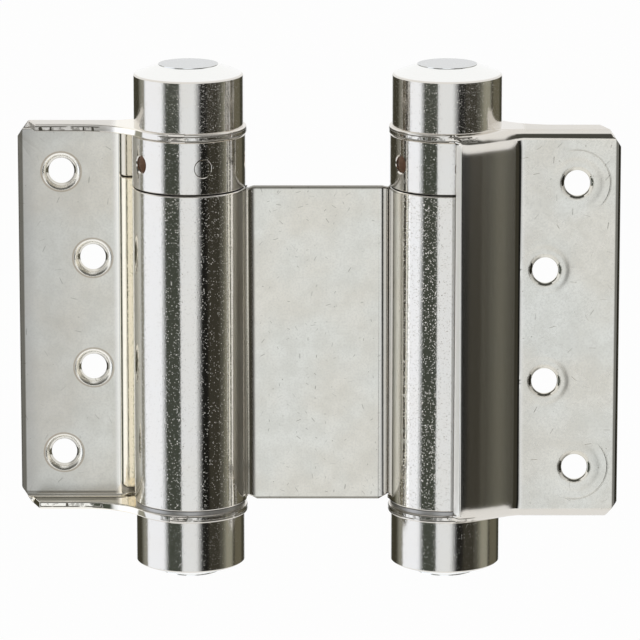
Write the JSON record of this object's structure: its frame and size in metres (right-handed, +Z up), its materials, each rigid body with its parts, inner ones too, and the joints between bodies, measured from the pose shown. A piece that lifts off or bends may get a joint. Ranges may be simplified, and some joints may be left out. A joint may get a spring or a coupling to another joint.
{
  "type": "double action spring hinge",
  "caption": "Bright plated double action spring hinge: pressed screw leaves on either side of a rolled plate with sprung barrels, adjusting collars and plain end caps.",
  "frame": {"origin": "midway between the two barrel axes, at half the leaf height", "axes": "+X to the right across both leaves, +Y away from the viewer, +Z up along the barrels"},
  "size_m": [0.1168, 0.025, 0.101],
  "materials": {
    "plated_leaf": "bright nickel plate",
    "plated_barrel": "bright nickel plate",
    "plated_collar": "bright nickel plate",
    "plated_cap": "bright nickel plate",
    "plain_steel": "plain oiled steel",
    "spring_steel": "oil tempered"
  },
  "bodies": {
    "leaf_left_body": {"leaf_left": "plated_leaf", "spindle_left": "plain_steel", "end_boss_top_left": "plain_steel", "end_boss_bottom_left": "plain_steel", "cap_top_left": "plated_cap", "cap_bottom_left": "plated_cap", "thrust_washer_left": "plain_steel"},
    "barrel_body": {"barrel_web": "plated_barrel", "spring_left": "spring_steel", "spring_plug_left": "plain_steel", "spring_right": "spring_steel", "spring_plug_right": "plain_steel"},
    "leaf_right_body": {"leaf_right": "plated_leaf", "spindle_right": "plain_steel", "end_boss_top_right": "plain_steel", "end_boss_bottom_right": "plain_steel", "cap_top_right": "plated_cap", "cap_bottom_right": "plated_cap", "thrust_washer_right": "plain_steel"},
    "collar_left_body": {"adjusting_collar_left": "plated_collar", "collar_pin_left": "plated_collar"},
    "collar_right_body": {"adjusting_collar_right": "plated_collar", "collar_pin_right": "plated_collar"}
  },
  "joints": [
    {"name": "left_barrel", "type": "hinge", "parent": "leaf_left_body", "child": "barrel_body", "pos_m": [-0.025, 0, 0], "axis": [0, 0, -1], "range_deg": [0, 180], "stiffness_Nm_per_rad": 0.05, "deforming": ["spring_left"]},
    {"name": "right_barrel", "type": "hinge", "parent": "barrel_body", "child": "leaf_right_body", "pos_m": [0.025, 0, 0], "axis": [0, 0, 1], "range_deg": [0, 180], "stiffness_Nm_per_rad": 0.05, "deforming": ["spring_right"]},
    {"name": "left_collar", "type": "hinge", "parent": "leaf_left_body", "child": "collar_left_body", "pos_m": [-0.025, 0, 0.0318], "axis": [0, 0, 1], "range_deg": [0, 216], "deforming": ["spring_left"]},
    {"name": "right_collar", "type": "hinge", "parent": "leaf_right_body", "child": "collar_right_body", "pos_m": [0.025, 0, 0.0318], "axis": [0, 0, 1], "range_deg": [0, 216], "deforming": ["spring_right"]}
  ]
}
